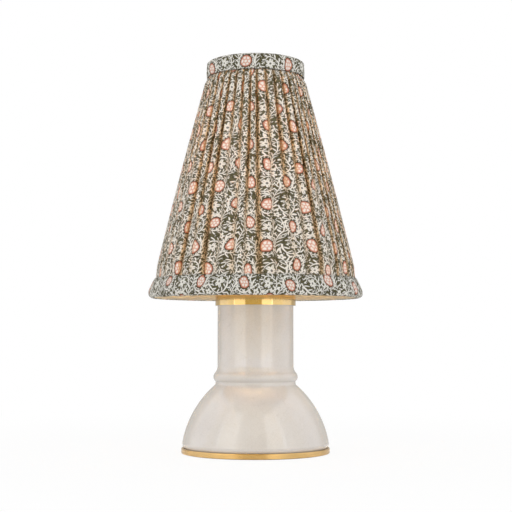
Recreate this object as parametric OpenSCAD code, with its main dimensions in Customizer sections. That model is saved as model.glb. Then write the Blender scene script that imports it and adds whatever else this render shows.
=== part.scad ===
// Table lamp with a gathered fabric shade on a glazed ceramic body.
// Lengths are in millimetres, +Z is up, and the lamp stands on z = 0 with its axis on the Z axis.
// The front faces -Y. The legs of the harp lie on the X axis.

/* [Ceramic body] */
// Height of the body from its foot to its crown
body_h = 169; // [150:1:200]
// Widest diameter of the bell
belly_d = 157.6; // [140:0.1:180]
// How far the foot steps in under the belly
foot_inset = 2.4; // [1.5:0.1:4]
// Height of the widest line above the foot
belly_h = 7.8; // [5:0.1:12]
// Height of the bell from the foot to the groove
bell_h = 69.7; // [60:0.1:80]
// How far the bell's side bows out from a straight line
bell_bow = 6; // [2:0.1:10]
// Diameter of the straight neck
neck_d = 81.8; // [76:0.1:90]
// How far the bead's edges stand out from the neck
bead_step = 2.2; // [1:0.1:5]
// How far the bead bows out between its edges
bead_bow = 2.2; // [1:0.1:3.5]
// Height of the bead
bead_h = 9.8; // [8:0.1:14]
// Height of the groove under the bead
groove_h = 3.5; // [3:0.1:6]
// Height of the cove above the bead
cove_h = 8; // [5:0.1:12]
// Thickness of the ceramic wall
body_wall = 5.5; // [4:0.1:7]
// Thickness of the crown that closes the neck
crown_t = 6; // [4:0.1:9]
// Hole in the crown for the pipe's grommet
crown_hole_d = 15; // [14:0.1:20]
// Hole in the back for the cord's grommet
cord_hole_d = 13.5; // [12:0.1:16]
// Height of the cord's hole above the foot
cord_hole_h = 17.5; // [15:0.1:24]

/* [Foot dish] */
// Thickness of the felt pad
felt_t = 2; // [1.5:0.1:4]
// Thickness of the dish's sheet
dish_t = 1.2; // [0.8:0.1:2]
// Width of the dish's solid lip
lip_w = 2.5; // [2:0.1:4]
// Height of the lip
lip_h = 5.6; // [4.5:0.1:8]
// Height of the lip's lower edge above the table
lip_clear = 0.5; // [0.3:0.1:1]
// Diameter of the raised boss that clears the nut
boss_d = 44; // [36:1:60]
// Height of the boss above the dish's floor
boss_h = 10; // [9:0.1:14]

/* [Pipe and nuts] */
// Outside diameter of the threaded pipe
pipe_d = 10.2; // [9.5:0.1:10.4]
// Bore of the pipe, where the leads pass
pipe_bore_d = 6.8; // [5:0.1:7.5]
// Size across the flats of the nuts
nut_af = 15; // [14:0.1:17]
// Thickness of the lower nut
nut_t = 4; // [3:0.1:4.5]
// Thickness of the nut above the saddle
jam_nut_t = 3.5; // [2.5:0.1:5]
// Diameter of the lower washer
washer_d = 26; // [22:0.1:32]
// Thickness of the lower washer
washer_t = 1.5; // [1:0.1:2]
// Thickness of the gasket under the cap
gasket_t = 0.7; // [0.5:0.1:2]

/* [Neck cap] */
// Height of the brass cap on the neck
cap_h = 17.3; // [12:0.1:24]
// Thickness of the cap's skirt and top
cap_t = 2.2; // [1.2:0.1:2.8]
// Height of the spacer tube on the cap
riser_h = 8; // [5:0.1:14]
// Diameter of the spacer tube
riser_d = 17; // [14:0.1:22]

/* [Harp] */
// Height of the harp from the saddle's underside to the seat
harp_h = 216; // [200:1:240]
// Widest distance between the centres of the harp's wire
harp_w = 113; // [90:1:120]
// Distance between the straight legs
leg_gap = 54.4; // [50:0.1:60]
// Diameter of the harp's wire
wire_d = 3.2; // [2.6:0.1:3.6]
// Thickness of the saddle's strip
saddle_t = 1.5; // [1.2:0.1:2]
// Height of the ledges that carry the harp above the saddle's base
ledge_h = 7; // [5:0.1:12]
// Length of the sleeves that lock the legs
sleeve_h = 10; // [8:0.1:14]
// Travel of the sleeves
sleeve_lift = 10; // [8:0.1:12]
// Length of the threaded stud above the seat
stud_h = 11; // [9:0.1:13]
// Diameter of the stud
stud_d = 6.1; // [5:0.1:6.3]

/* [Socket] */
// Height of the socket's domed cap
socket_cap_h = 23; // [20:0.1:28]
// Outside diameter of the socket's shell
shell_d = 32.4; // [32:0.1:36]
// Height of the shell above the dome's rim
shell_h = 35; // [33:0.1:40]
// Diameter of the switch knob
knob_d = 12; // [9:0.1:14]
// Length of the switch knob
knob_h = 13; // [9:0.1:16]

/* [Bulb] */
// Widest diameter of the glass
bulb_d = 60; // [50:1:64]
// Overall length of the bulb
bulb_h = 108; // [100:1:116]
// Diameter over the thread of the bulb's cap
thread_d = 26.2; // [25.8:0.1:26.4]
// Pitch of the thread
thread_pitch = 3.629; // [3:0.001:4]

/* [Shade] */
// Diameter of the top ring, at the middle of its wire
top_ring_d = 93.8; // [88:0.1:104]
// Diameter of the bottom ring, at the middle of its wire
bottom_ring_d = 221.6; // [210:0.1:250]
// Height from ring to ring
shade_h = 250.5; // [240:0.1:262]
// How far the spider's seat lies below the top ring
seat_drop = 21.7; // [16:0.1:30]
// Diameter of the top ring's wire
top_wire_d = 3; // [2:0.1:4]
// Diameter of the bottom ring's wire
bottom_wire_d = 3.5; // [2.5:0.1:4.5]
// Number of upright ribs
rib_count = 8; // [6:1:12]
// Diameter of the ribs
rib_d = 2; // [1.6:0.1:2.6]
// Number of pleats
pleat_count = 47; // [32:1:48]
// Depth of the pleats
pleat_depth = 1.9; // [0.6:0.1:2.4]
// Thickness of the cloth at the valleys
cloth_t = 0.6; // [0.4:0.1:1]
// Thickness of the lining
lining_t = 0.6; // [0.4:0.1:1]
// Thickness of the folded bands
band_t = 1; // [0.6:0.1:1.3]
// Height of the top band
top_band_h = 15; // [10:0.1:22]
// Height of the bottom band
bottom_band_h = 16; // [12:0.1:24]

/* [Hidden] */
$fn = 96;

// Clearances that the fits share
overrun = 1;
rest_gap = 0.05;
turn_gap = 0.08;
slip_gap = 0.3;

// Colours
GLAZE = [0.84, 0.81, 0.77];
BRASS = [0.80, 0.62, 0.30];
STEEL = [0.66, 0.67, 0.69];
RUBBER = [0.16, 0.15, 0.14];
FELT = [0.20, 0.22, 0.20];
CLOTH = [0.52, 0.52, 0.47];
LINING = [0.86, 0.79, 0.64];
CARD = [0.55, 0.42, 0.28];
PHENOLIC = [0.10, 0.09, 0.08];
GLASS = [0.96, 0.94, 0.88];

// Heights of the stack, from the table up
dish_floor_z = felt_t + dish_t;
crown_z = dish_floor_z + body_h;
cap_top_z = crown_z + gasket_t + cap_t;
saddle_z = cap_top_z + riser_h;
jam_nut_z = saddle_z + saddle_t;
socket_z = jam_nut_z + jam_nut_t;
seat_z = saddle_z + harp_h;
top_ring_z = seat_z + seat_drop;
bottom_ring_z = top_ring_z - shade_h;
bore_d = pipe_d + 2 * slip_gap;

// Points of a round stretch from a to b that bows out to the right of the way from a to b
function round_stretch(a, b, bow, steps) =
    let (way = b - a, span = norm(way), along = way / span, out = [along.y, -along.x],
        r = (span * span / 4 + bow * bow) / (2 * bow), half = asin(span / 2 / r),
        centre = (a + b) / 2 + out * (bow - r))
    [for (i = [0 : steps]) let (t = half * (2 * i / steps - 1)) centre + r * (out * cos(t) + along * sin(t))];

// Cylinder between two heights
module post(d, z0, z1) {
    translate([0, 0, z0]) cylinder(d = d, h = z1 - z0);
}

// Tube between two heights
module tube(d, bore, z0, z1) {
    difference() {
        post(d, z0, z1);
        post(bore, z0 - overrun, z1 + overrun);
    }
}

// Straight rod between two points
module rod(a, b, d) {
    way = b - a;
    translate(a)
        rotate([0, acos(way.z / norm(way)), atan2(way.y, way.x)])
            cylinder(d = d, h = norm(way));
}

// Turned piece: a closed outline in radius and height, spun about the axis
module turned(outline) {
    rotate_extrude() polygon(outline);
}

// Ceramic body

belly_r = belly_d / 2;
foot_r = belly_r - foot_inset;
neck_r = neck_d / 2;
bead_r = neck_r + bead_step;
groove_bow = -0.25;
cove_bow = -0.7;
foot_bow = 0.5;
foot_edge_h = 2.4;
shoulder_step = 0.5;
bead_z = bell_h + groove_h;
cove_z = bead_z + bead_h;

// The body's side from the foot to the crown, inset by a wall, with z = 0 at the foot
function body_side(inset, top) =
    let (side = concat([[foot_r, 0]],
            round_stretch([foot_r, foot_edge_h], [belly_r, belly_h], foot_bow, 6),
            round_stretch([belly_r, belly_h], [bead_r + shoulder_step, bell_h], bell_bow, 20),
            round_stretch([bead_r + shoulder_step, bell_h], [bead_r, bead_z], groove_bow, 6),
            round_stretch([bead_r, bead_z], [bead_r, cove_z], bead_bow, 12),
            round_stretch([bead_r, cove_z], [neck_r, cove_z + cove_h], cove_bow, 6)))
    concat([for (p = side) [p.x - inset, p.y]], [[neck_r - inset, top]]);

// Solid that fills the body's side, grown outwards by a skin
module body_fill(skin) {
    translate([0, 0, dish_floor_z])
        turned(concat([[0, 0]], body_side(-skin, body_h), [[0, body_h]]));
}

// The hollow inside the body, shrunk inwards by a skin
module body_hollow(skin) {
    inset = body_wall + skin;
    translate([0, 0, dish_floor_z])
        turned(concat([[0, -overrun], [foot_r - inset, -overrun]],
            body_side(inset, body_h - crown_t - skin), [[0, body_h - crown_t - skin]]));
}

// Runs its children along +Y from the axis, at the height of the cord's hole
module at_cord_hole() {
    translate([0, 0, dish_floor_z + cord_hole_h]) rotate([-90, 0, 0]) children();
}

module ceramic_body() {
    color(GLAZE) difference() {
        body_fill(0);
        body_hollow(0);
        post(crown_hole_d, crown_z - crown_t - overrun, crown_z + overrun);
        at_cord_hole() cylinder(d = cord_hole_d, h = belly_r + overrun);
    }
}

// Cord grommet

grommet_bore_d = 9;
grommet_flange_w = 2.6;
grommet_flange_t = 1.6;
grommet_start_r = belly_r - 2 * body_wall;

module cord_grommet() {
    flange_d = cord_hole_d + 2 * grommet_flange_w;
    color(RUBBER) difference() {
        union() {
            intersection() {
                at_cord_hole() translate([0, 0, grommet_start_r])
                    cylinder(d = cord_hole_d - 2 * rest_gap, h = belly_r);
                body_fill(grommet_flange_t);
            }
            intersection() {
                at_cord_hole() translate([0, 0, grommet_start_r]) cylinder(d = flange_d, h = belly_r);
                difference() {
                    body_fill(grommet_flange_t);
                    body_fill(rest_gap);
                }
            }
        }
        body_hollow(-rest_gap);
        at_cord_hole() cylinder(d = grommet_bore_d, h = belly_r + body_wall);
    }
}

// Foot dish and felt

lip_fit = 0.6;
lip_in_r = foot_r + lip_fit;
lip_out_r = lip_in_r + lip_w;
lip_top_z = lip_clear + lip_h;
lip_edge_h = lip_w / 2;
boss_slope_w = 4;

module felt_pad() {
    color(FELT) difference() {
        post(2 * (lip_in_r - slip_gap), 0, felt_t);
        post(boss_d - boss_slope_w, -overrun, felt_t + overrun);
    }
    color(FELT) post(boss_d - boss_slope_w, 0, felt_t - rest_gap);
}

module foot_dish() {
    r = boss_d / 2;
    color(BRASS) turned(concat(
        [[bore_d / 2, felt_t + boss_h], [r, felt_t + boss_h], [r + boss_slope_w, felt_t],
            [lip_in_r, felt_t], [lip_in_r, lip_clear]],
        round_stretch([lip_out_r - lip_clear, lip_clear], [lip_out_r, 2 * lip_clear], lip_clear / 5, 4),
        round_stretch([lip_out_r, lip_top_z - lip_edge_h], [lip_in_r, lip_top_z - lip_edge_h], lip_edge_h * 0.98, 12),
        [[lip_in_r, dish_floor_z], [r + boss_slope_w, dish_floor_z], [r, dish_floor_z + boss_h],
            [bore_d / 2, dish_floor_z + boss_h]]));
}

// Pipe, washers and nuts

pipe_end = 2;
boss_under_z = felt_t + boss_h;
pipe_bottom_z = boss_under_z - washer_t - nut_t - pipe_end;
hub_h = 8;
pipe_top_z = socket_z + hub_h - overrun;

module hex_nut(z0, z1) {
    difference() {
        translate([0, 0, z0]) cylinder(d = nut_af / cos(30), h = z1 - z0, $fn = 6);
        post(bore_d, z0 - overrun, z1 + overrun);
    }
}

module bottom_washer() {
    color(STEEL) tube(washer_d, bore_d, boss_under_z - washer_t, boss_under_z);
}

module bottom_nut() {
    color(STEEL) hex_nut(boss_under_z - washer_t - nut_t, boss_under_z - washer_t);
}

module lamp_pipe() {
    color(STEEL) tube(pipe_d, pipe_bore_d, pipe_bottom_z, pipe_top_z);
}

module neck_grommet() {
    lip_d = crown_hole_d + 4 * gasket_t;
    color(RUBBER) difference() {
        union() {
            post(crown_hole_d - 2 * rest_gap, crown_z - crown_t, crown_z);
            post(lip_d, crown_z, crown_z + gasket_t);
        }
        post(bore_d, crown_z - crown_t - overrun, crown_z + gasket_t + overrun);
    }
}

module saddle_nut() {
    color(BRASS) hex_nut(jam_nut_z, socket_z);
}

// Neck cap

cap_round = 1.6;
cap_in_r = neck_r + slip_gap;
cap_out_r = cap_in_r + cap_t;
cap_bottom_z = cap_top_z - cap_h;

module cap_gasket() {
    gasket_w = 8;
    color(RUBBER) tube(neck_d - 2 * slip_gap, neck_d - 2 * gasket_w, crown_z, crown_z + gasket_t);
}

module neck_cap() {
    color(BRASS) turned(concat(
        [[bore_d / 2, cap_top_z - cap_t], [cap_in_r, cap_top_z - cap_t], [cap_in_r, cap_bottom_z],
            [cap_out_r, cap_bottom_z]],
        round_stretch([cap_out_r, cap_top_z - cap_round], [cap_out_r - cap_round, cap_top_z],
            cap_round * (1 - cos(45)), 6),
        [[bore_d / 2, cap_top_z]]));
}

module socket_riser() {
    color(BRASS) tube(riser_d, bore_d, cap_top_z, saddle_z);
}

// Harp saddle and sleeves

leg_x = leg_gap / 2;
saddle_w = 12;
ledge_w = 10;
tongue_w = 4;
tongue_h = 8;
tongue_gap = 0.4;
ledge_z = saddle_z + ledge_h;
arm_in_x = leg_x - wire_d / 2;
tongue_in_x = leg_x + wire_d / 2 + tongue_gap;
tongue_out_x = tongue_in_x + saddle_t;
sleeve_x = leg_x + tongue_gap + saddle_t / 2;
sleeve_bore_d = 2 * (norm([tongue_out_x - sleeve_x, tongue_w / 2]) + 2 * tongue_gap);
sleeve_d = sleeve_bore_d + saddle_t;

module saddle_arm() {
    translate([arm_in_x, -saddle_w / 2, saddle_z]) cube([saddle_t, saddle_w, ledge_h]);
    translate([arm_in_x, -ledge_w / 2, ledge_z - saddle_t])
        cube([tongue_out_x - arm_in_x, ledge_w, saddle_t]);
    translate([tongue_in_x, -tongue_w / 2, ledge_z - saddle_t])
        cube([saddle_t, tongue_w, tongue_h + saddle_t]);
}

module harp_saddle() {
    base_l = 2 * (arm_in_x + saddle_t);
    color(STEEL) difference() {
        union() {
            translate([-base_l / 2, -saddle_w / 2, saddle_z]) cube([base_l, saddle_w, saddle_t]);
            saddle_arm();
            mirror([1, 0, 0]) saddle_arm();
        }
        post(bore_d, saddle_z - overrun, saddle_z + saddle_t + overrun);
    }
}

module harp_sleeve(side) {
    z0 = ledge_z + rest_gap;
    color(BRASS) translate([side * sleeve_x, 0, 0]) difference() {
        turned(concat([[0, z0], [sleeve_d / 2, z0]],
            round_stretch([sleeve_d / 2, z0 + sleeve_h - saddle_t], [sleeve_d / 2 - saddle_t / 2, z0 + sleeve_h],
                saddle_t / 5, 5),
            [[0, z0 + sleeve_h]]));
        post(sleeve_bore_d, z0 - overrun, z0 + sleeve_h + overrun);
    }
}

module harp_sleeve_left() { harp_sleeve(-1); }
module harp_sleeve_right() { harp_sleeve(1); }

// Harp: straight legs, a flare out to the widest line, then straighter sides up to the bridge

bridge_l = 18;
bridge_w = 9;
bridge_h = 6;
socket_depth = 5;
seat_t = 1.4;
swivel_gap = 0.2;
leg_top_z = ledge_z + sleeve_h + sleeve_lift + saddle_t;
bridge_top_z = seat_z - seat_t - swivel_gap;
top_wire_z = bridge_top_z - bridge_h / 2;
end_x = bridge_l / 2 - socket_depth;
widest_share = 0.5;
side_share = 1.18;
widest_z = leg_top_z + (top_wire_z - leg_top_z) * widest_share;

// Way along a plane path at one of its points
function path_way(path, i) =
    let (b = path[min(i + 1, len(path) - 1)] - path[max(i - 1, 0)]) b / norm(b);

// Round wire swept along a path of [x, z] points
module swept_wire(path, d, sides) {
    n = len(path);
    rings = [for (i = [0 : n - 1]) let (t = path_way(path, i)) for (j = [0 : sides - 1])
        let (a = j * 360 / sides, q = path[i] + [t.y, -t.x] * (d / 2 * cos(a)))
        [q.x, d / 2 * sin(a), q.y]];
    walls = [for (i = [0 : n - 2]) for (j = [0 : sides - 1])
        let (a = i * sides + j, b = i * sides + (j + 1) % sides, c = a + sides, e = b + sides)
        each [[a, c, e], [a, e, b]]];
    foot = [for (j = [0 : sides - 1]) j];
    head = [for (j = [sides - 1 : -1 : 0]) (n - 1) * sides + j];
    polyhedron(rings, concat(walls, [foot], [head]));
}

// Points of an arc about a centre, from one angle through a sweep
function arc_about(centre, r, from, sweep, steps) =
    [for (i = [0 : steps]) let (a = from + sweep * i / steps) centre + r * [cos(a), sin(a)]];

// Lower half: an S from the leg to the widest line
harp_flare = [for (i = [0 : 12]) let (t = i / 12)
    [leg_x + (harp_w / 2 - leg_x) * (1 - cos(180 * t)) / 2, leg_top_z + (widest_z - leg_top_z) * t]];

// Upper half: a quarter of a rounded diamond, level where it enters the bridge
harp_bow = [for (i = [1 : 18]) let (a = i * 5)
    [bridge_l / 2 + (harp_w - bridge_l) / 2 * pow(cos(a), side_share),
        widest_z + (top_wire_z - widest_z) * pow(sin(a), side_share)]];

harp_path = concat([[leg_x, ledge_z + rest_gap]], harp_flare, harp_bow, [[end_x, top_wire_z]]);

module harp_wire() {
    color(STEEL) swept_wire(harp_path, wire_d, 16);
    color(STEEL) mirror([1, 0, 0]) swept_wire(harp_path, wire_d, 16);
}

pin_d = 4;
rivet_d = 6.4;
rivet_t = 1.2;
pin_bottom_z = bridge_top_z - bridge_h - swivel_gap;

module harp_bridge() {
    color(BRASS) difference() {
        translate([-bridge_l / 2, -bridge_w / 2, bridge_top_z - bridge_h])
            cube([bridge_l, bridge_w, bridge_h]);
        post(pin_d + 2 * turn_gap, bridge_top_z - bridge_h - overrun, bridge_top_z + overrun);
        for (side = [-1, 1])
            rod([side * (end_x - rest_gap), 0, top_wire_z], [side * bridge_l, 0, top_wire_z],
                wire_d + 2 * rest_gap);
    }
}

stud_edge = 0.7;

module harp_swivel() {
    r = stud_d / 2;
    seat_r = riser_d / 2;
    color(BRASS) turned([[0, pin_bottom_z - rivet_t], [rivet_d / 2, pin_bottom_z - rivet_t],
        [rivet_d / 2, pin_bottom_z], [pin_d / 2, pin_bottom_z], [pin_d / 2, seat_z - seat_t],
        [seat_r, seat_z - seat_t], [seat_r, seat_z], [r, seat_z], [r, seat_z + stud_h - stud_edge],
        [r - stud_edge, seat_z + stud_h], [0, seat_z + stud_h]]);
}

// Finial: a turned knob pressed on a threaded insert

spider_t = 1.2;
washer_top_z = seat_z + rest_gap + spider_t;
finial_z = washer_top_z + rest_gap;
insert_t = 1.5;
insert_h = stud_h - spider_t - 3 * rest_gap;
insert_in_r = stud_d / 2 + turn_gap;
insert_out_r = insert_in_r + insert_t;
finial_base_r = insert_out_r + insert_t;
finial_waist_r = finial_base_r - insert_t / 2;
finial_ball_r = finial_base_r + insert_t;
finial_foot_h = 3;
finial_waist_h = 8;
finial_h = 18.4;
finial_hole_h = insert_h + overrun;

module finial_insert() {
    color(BRASS) tube(2 * insert_out_r, 2 * insert_in_r, finial_z, finial_z + insert_h);
}

module finial() {
    z = finial_z;
    color(BRASS) difference() {
        turned(concat([[0, z], [finial_base_r, z], [finial_base_r, z + finial_foot_h - overrun],
                [finial_waist_r, z + finial_foot_h]],
            round_stretch([finial_waist_r, z + finial_waist_h], [0, z + finial_h],
                finial_ball_r - finial_waist_r + insert_t, 14)));
        post(2 * (insert_out_r + turn_gap), z - overrun, z + insert_h + rest_gap);
        post(stud_d, z, z + finial_hole_h);
    }
}

// Socket

sheet_t = 0.6;
hub_d = 16;
dome_h = 18;
socket_skirt_h = socket_cap_h - dome_h;
dome_z = socket_z + dome_h;
shell_r = shell_d / 2;
skirt_r = shell_r + slip_gap / 2 + sheet_t;
shell_in_r = shell_r - sheet_t;
liner_r = shell_in_r - slip_gap / 2;
liner_in_r = liner_r - sheet_t;
block_r = liner_in_r - slip_gap / 2;
block_h = 14;
shell_z = dome_z + rest_gap;
shell_top_z = dome_z + shell_h;
block_top_z = shell_z + block_h;
screw_in_r = thread_d / 2 + slip_gap;
screw_out_r = screw_in_r + sheet_t / 2;
pedestal_h = 2;
switch_z = shell_z + block_h / 2 + overrun;
shaft_d = 3.2;
slot_d = shaft_d + 4 * slip_gap;

module socket_cap() {
    hub_r = hub_d / 2;
    ledge_r = block_r - 4 * sheet_t;
    side = round_stretch([hub_r, socket_z + hub_h - 2 * sheet_t], [skirt_r, dome_z], 2, 8);
    color(BRASS) difference() {
        turned(concat([[bore_d / 2, socket_z], [hub_r, socket_z]], side,
            [[skirt_r, dome_z + socket_skirt_h], [skirt_r - sheet_t, dome_z + socket_skirt_h],
                [skirt_r - sheet_t, dome_z], [ledge_r, dome_z],
                [hub_r - sheet_t, socket_z + hub_h], [bore_d / 2, socket_z + hub_h]]));
        translate([0, 0, socket_z + hub_h / 2]) rotate([0, -90, 0])
            cylinder(d = set_screw_d + 2 * slip_gap, h = hub_d);
    }
}

set_screw_d = 3;
set_screw_head_d = 5;

module set_screw() {
    z = socket_z + hub_h / 2;
    color(STEEL) {
        rod([-pipe_d / 2 - rest_gap, 0, z], [-hub_d / 2 - rest_gap, 0, z], set_screw_d);
        rod([-hub_d / 2 - rest_gap, 0, z], [-hub_d / 2 - set_screw_d / 2, 0, z], set_screw_head_d);
    }
}

// Slot in the sleeve's wall for the switch shaft, open at the lower edge
module shaft_slot() {
    translate([0, 0, switch_z]) rotate([90, 0, 0]) cylinder(d = slot_d, h = skirt_r);
    translate([-slot_d / 2, -skirt_r, shell_z - overrun])
        cube([slot_d, skirt_r, switch_z - shell_z + overrun]);
}

module socket_shell() {
    color(BRASS) difference() {
        tube(shell_d, 2 * shell_in_r, shell_z, shell_top_z);
        shaft_slot();
    }
}

module socket_liner() {
    color(CARD) difference() {
        tube(2 * liner_r, 2 * liner_in_r, shell_z, shell_top_z - sheet_t);
        shaft_slot();
    }
}

terminal_d = 6;
terminal_t = 2;
terminal_z = shell_z + block_h / 2;
cam_d = 8;
cam_t = 3;
cam_y = -6;

module terminal_recess(side) {
    translate([side * block_r, 0, terminal_z])
        cube([2 * (terminal_t + slip_gap), terminal_d + 4 * slip_gap, terminal_d + 4 * slip_gap],
            center = true);
}

module socket_block() {
    color(PHENOLIC) difference() {
        union() {
            post(2 * block_r, shell_z, block_top_z);
            post(2 * (screw_in_r - slip_gap), block_top_z, block_top_z + pedestal_h);
        }
        for (side = [-1, 1]) terminal_recess(side);
        translate([0, cam_y + slip_gap, switch_z]) rotate([90, 0, 0]) {
            cylinder(d = shaft_d + 2 * turn_gap, h = block_r);
            cylinder(d = cam_d + 2 * slip_gap, h = cam_t + 2 * slip_gap);
        }
        post(pipe_bore_d, shell_z - overrun, shell_z + 2 * sheet_t);
    }
}

module terminal_screws() {
    inner_x = block_r - terminal_t - slip_gap;
    for (side = [-1, 1])
        color(side < 0 ? STEEL : BRASS)
            rod([side * (inner_x + rest_gap), 0, terminal_z],
                [side * (inner_x + terminal_t), 0, terminal_z], terminal_d);
}

module screw_shell() {
    color(BRASS) tube(2 * screw_out_r, 2 * screw_in_r, block_top_z, shell_top_z - 2 * sheet_t);
}

contact_w = 5;
contact_t = 0.5;
contact_rise = 2;
contact_l = 8;

module centre_contact() {
    z = block_top_z + pedestal_h;
    color(BRASS) rotate([90, 0, 0]) translate([0, 0, -contact_w / 2])
        linear_extrude(height = contact_w)
            polygon([[-contact_l, z], [-contact_l / 2, z], [0, z + contact_rise], [contact_l / 4, z + contact_rise],
                [contact_l / 4, z + contact_rise + contact_t], [-contact_t, z + contact_rise + contact_t],
                [-contact_l / 2 - contact_t, z + contact_t], [-contact_l, z + contact_t]]);
}

// Switch

knob_gap = 8;
knob_y = -shell_r - knob_gap;
shaft_end_y = knob_y - knob_h / 2;

module switch_knob() {
    ridge_d = 1.2;
    ridges = 12;
    color(PHENOLIC) translate([0, knob_y, switch_z]) rotate([90, 0, 0]) difference() {
        turned(concat([[0, 0], [knob_d / 2, 0]],
            round_stretch([knob_d / 2, knob_h - cam_t], [knob_d / 2 - cam_t, knob_h], cam_t * (1 - cos(45)), 5),
            [[0, knob_h]]));
        translate([0, 0, -overrun]) cylinder(d = shaft_d + 2 * rest_gap, h = knob_h / 2 + rest_gap + overrun);
        for (i = [0 : ridges - 1]) rotate([0, 0, i * 360 / ridges])
            translate([knob_d / 2, 0, cam_t]) cylinder(d = ridge_d, h = knob_h);
    }
}

module switch_shaft() {
    color(STEEL) rod([0, cam_y - cam_t, switch_z], [0, shaft_end_y, switch_z], shaft_d);
}

module switch_cam() {
    color(PHENOLIC) difference() {
        rod([0, cam_y, switch_z], [0, cam_y - cam_t + rest_gap, switch_z], cam_d);
        translate([0, cam_y, switch_z + cam_d / 2]) cube([cam_d, 4 * cam_t, cam_d / 4], center = true);
    }
}

// Bulb

tip_gap = 0.15;
tip_z = block_top_z + pedestal_h + contact_rise + contact_t + tip_gap;
tip_d = 9;
tip_t = 1.6;
insulator_h = 3.4;
thread_h = 18;
thread_cut = 0.8;
insulator_z = tip_z + tip_t + rest_gap;
thread_z = insulator_z + insulator_h + rest_gap;
glass_z = thread_z + thread_h;
glass_t = 0.8;
bulb_neck_r = 13.6;
bulb_r = bulb_d / 2;
crown_top_z = tip_z + bulb_h;
globe_z = crown_top_z - bulb_r;

module bulb_contact() {
    color(STEEL) turned(concat([[0, tip_z]], round_stretch([tip_d / 4, tip_z], [tip_d / 2, tip_z + tip_t], tip_t / 4, 5),
        [[0, tip_z + tip_t]]));
}

module bulb_insulator() {
    color(PHENOLIC) turned([[0, insulator_z], [tip_d / 2 + rest_gap, insulator_z],
        [thread_d / 2 - thread_cut - cap_sheet_t, insulator_z + insulator_h], [0, insulator_z + insulator_h]]);
}

cap_sheet_t = 0.4;
turns = floor(thread_h / thread_pitch);

// Side of the cap: one rounded crest and root for each pitch
function thread_side(inset) = [for (i = [0 : turns * 6])
    [thread_d / 2 - thread_cut / 2 * (1 + cos(i * 60)) - inset, thread_z + i * thread_pitch / 6]];

module bulb_cap() {
    outer = thread_side(0);
    inner = thread_side(cap_sheet_t);
    top = thread_z + thread_h;
    color(STEEL) turned(concat(outer, [[bulb_neck_r - cap_sheet_t, top], [bulb_neck_r - 3 * cap_sheet_t, top]],
        [for (i = [len(inner) - 1 : -1 : 0]) inner[i]]));
}

function bulb_side(inset) = concat(
    round_stretch([bulb_neck_r - inset, glass_z + rest_gap], [bulb_r * cos(36) - inset, globe_z - bulb_r * sin(36)], -3, 10),
    [for (i = [-35 : 5 : 85]) [(bulb_r - inset) * cos(i), globe_z + (bulb_r - inset) * sin(i)]]);

module bulb_glass() {
    outer = bulb_side(0);
    inner = bulb_side(glass_t);
    color(GLASS) turned(concat(outer, [[0, crown_top_z], [0, crown_top_z - glass_t]],
        [for (i = [len(inner) - 1 : -1 : 0]) inner[i]]));
}

stem_d = 9;
stem_flare_d = 2 * (bulb_neck_r - glass_t - rest_gap);
stem_h = 26;
stem_flare_h = 4;
support_d = 0.8;
support_h = 22;
support_x = 9;
filament_d = 1.2;

module bulb_stem() {
    color(GLASS) turned([[0, glass_z + rest_gap], [stem_flare_d / 2, glass_z + rest_gap],
        [stem_flare_d / 2, glass_z + overrun], [stem_d / 2, glass_z + stem_flare_h],
        [stem_d / 2 - overrun, glass_z + stem_h], [0, glass_z + stem_h]]);
}

module bulb_filament() {
    z0 = glass_z + stem_h + rest_gap;
    z1 = z0 + support_h;
    color(STEEL) for (side = [-1, 1])
        rod([side * support_x / 4, 0, z0], [side * support_x, 0, z1], support_d);
    color(STEEL) rod([-support_x, 0, z1], [support_x, 0, z1], filament_d);
}

// Shade frame

top_r = top_ring_d / 2;
bottom_r = bottom_ring_d / 2;
lean_rate = (bottom_r - top_r) / shade_h;
cone_lean = atan(lean_rate);
rib_inset = 0.85;
rib_half_w = rib_d / 2 / cos(cone_lean);
cover_in = rib_half_w + slip_gap - rib_inset;
cover_out = cover_in + cloth_t + pleat_depth;
cover_tuck = cover_in + cloth_t + pleat_depth / 4;
lining_out = -rib_inset - rib_half_w - slip_gap;
arm_d = 2.6;
arm_count = 3;
spider_d = 28;

// Radius of the cone through both rings at a height
function cone_r(z) = top_r + (top_ring_z - z) * lean_rate;

module ring(r, z, wire) {
    translate([0, 0, z]) rotate_extrude() translate([r, 0]) circle(d = wire);
}

module shade_top_ring() { color(STEEL) ring(top_r, top_ring_z, top_wire_d); }
module shade_bottom_ring() { color(STEEL) ring(bottom_r, bottom_ring_z, bottom_wire_d); }

module shade_ribs() {
    z0 = bottom_ring_z + bottom_wire_d / 2 - rib_d / 10;
    z1 = top_ring_z - top_wire_d / 2 - rib_d / 10;
    color(STEEL) for (i = [0 : rib_count - 1]) rotate([0, 0, (i + 0.5) * 360 / rib_count])
        rod([cone_r(z0) - rib_inset, 0, z0], [cone_r(z1) - rib_inset, 0, z1], rib_d);
}

arm_bend_r = 6;
arm_rise = 52;
arm_way = [cos(arm_rise), sin(arm_rise)];
arm_top = [top_r, top_ring_z] - (top_wire_d / 2 + rest_gap) * arm_way;

// The three places of the spider's arms
module at_arms() {
    for (i = [0 : arm_count - 1]) rotate([0, 0, 90 + i * 360 / arm_count]) children();
}

module shade_spider() {
    z0 = seat_z + rest_gap;
    axis_z = z0 + arm_d / 2;
    run = (arm_top.y - axis_z - arm_bend_r * (1 - cos(arm_rise))) / tan(arm_rise);
    bend_x = arm_top.x - run - arm_bend_r * sin(arm_rise);
    path = concat([[spider_d / 2 - arm_d, axis_z]],
        arc_about([bend_x, axis_z + arm_bend_r], arm_bend_r, -90, arm_rise, 5), [arm_top]);
    color(STEEL) difference() {
        union() {
            post(spider_d, z0, z0 + spider_t);
            at_arms() swept_wire(path, arm_d, 12);
        }
        post(stud_d + 2 * slip_gap, z0 - overrun, z0 + spider_t + overrun);
    }
}

// Lining: one thin cone inside the ribs, notched for the spider's arms

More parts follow.
